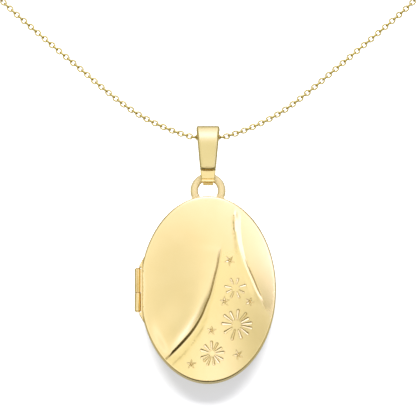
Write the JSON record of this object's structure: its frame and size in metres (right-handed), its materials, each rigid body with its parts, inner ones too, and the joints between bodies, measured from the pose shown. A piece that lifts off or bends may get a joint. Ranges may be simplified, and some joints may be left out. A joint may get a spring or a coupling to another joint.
{
  "type": "locket",
  "caption": "Oval hinged photo locket with an engraved front, a folded bail on a wire loop and a fine trace chain with a bolt ring clasp.",
  "frame": {"origin": "middle of the small flat land on the back cover, under the centre of the oval", "axes": "+Z out of the front cover, +Y towards the bail, +X to the right as seen from the front, so the hinge is on the -X side"},
  "size_m": [0.0617, 0.07, 0.005],
  "materials": {
    "case_gold": "polished gold with satin and bright-cut engraving",
    "inner_gold": "satin gold",
    "hinge_gold": "polished gold",
    "bail_gold": "polished gold",
    "chain_gold": "polished gold wire",
    "clasp_gold": "polished gold",
    "window": "clear film",
    "card": "uncoated paper card",
    "spring_steel": "bright wire"
  },
  "bodies": {
    "back": {"back_cover": "case_gold", "back_rim_band": "inner_gold", "back_photo_frame": "inner_gold", "back_window": "window", "back_photo_card": "card", "back_hinge_plate": "hinge_gold", "back_hinge_knuckle": "hinge_gold", "hinge_pin": "hinge_gold", "top_loop": "bail_gold", "loop_feet": "bail_gold", "chain_left": "chain_gold", "chain_right": "chain_gold", "chain_coil_left": "chain_gold", "chain_coil_right": "chain_gold", "chain_left_end": "chain_gold", "chain_right_end": "chain_gold", "clasp_ring": "clasp_gold", "clasp_spring": "spring_steel", "clasp_eye": "clasp_gold", "clasp_jump_ring": "clasp_gold", "end_ring": "clasp_gold"},
    "front": {"front_cover": "case_gold", "front_rim_band": "inner_gold", "front_photo_frame": "inner_gold", "front_window": "window", "front_photo_card": "card", "front_hinge_plate": "hinge_gold", "front_hinge_knuckle": "hinge_gold"},
    "bail": {"bail": "bail_gold", "chain_in_bail": "chain_gold"},
    "bolt": {"clasp_bolt": "clasp_gold", "clasp_trigger": "clasp_gold"}
  },
  "joints": [
    {"name": "cover_hinge", "type": "hinge", "parent": "back", "child": "front", "pos_m": [-0.00955, 0, 0.0025], "axis": [0, -1, 0], "range_deg": [0, 175]},
    {"name": "bail_swing", "type": "hinge", "parent": "back", "child": "bail", "pos_m": [0, 0.01557, 0.00195], "axis": [1, 0, 0], "range_deg": [0, 120]},
    {"name": "clasp_bolt_slide", "type": "hinge", "parent": "back", "child": "bolt", "pos_m": [-0.00368, 0.051, 0.00065], "axis": [0, 0, 1], "range_deg": [0, 54], "stiffness_Nm_per_rad": 0.0004, "springref_deg": -40.11, "deforming": ["clasp_spring"]}
  ]
}
